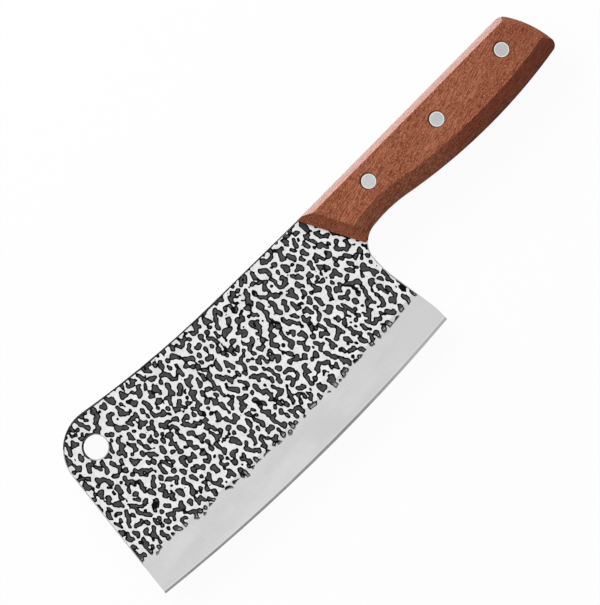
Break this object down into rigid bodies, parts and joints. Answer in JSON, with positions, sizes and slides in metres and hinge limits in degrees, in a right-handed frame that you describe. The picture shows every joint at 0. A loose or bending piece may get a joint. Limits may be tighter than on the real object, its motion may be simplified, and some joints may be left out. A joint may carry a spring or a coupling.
{
  "type": "chinese cleaver",
  "caption": "Broad rectangular cleaver with a slightly curved edge, rounded nose, hanging hole, full tang and a riveted wooden handle.",
  "frame": {"origin": "under the middle of the whole knife's outline, on the surface that the rear scale's flat face lies on", "axes": "+X from the toe of the blade to the butt of the handle, +Y from the cutting edge to the spine, +Z out of the pictured face"},
  "size_m": [0.3, 0.0896, 0.0198],
  "materials": {
    "blade_steel": "dark recessed hammer pattern on the flats, satin ground band and edge bevel",
    "handle_wood": "reddish-brown hardwood with a fine open grain, oiled satin",
    "rivet_steel": "satin"
  },
  "bodies": {
    "root": {"blade": "blade_steel", "front_scale": "handle_wood", "rear_scale": "handle_wood", "rivet_pin_1": "rivet_steel", "rivet_sleeve_1": "rivet_steel", "rivet_pin_2": "rivet_steel", "rivet_sleeve_2": "rivet_steel", "rivet_pin_3": "rivet_steel", "rivet_sleeve_3": "rivet_steel"}
  },
  "joints": []
}
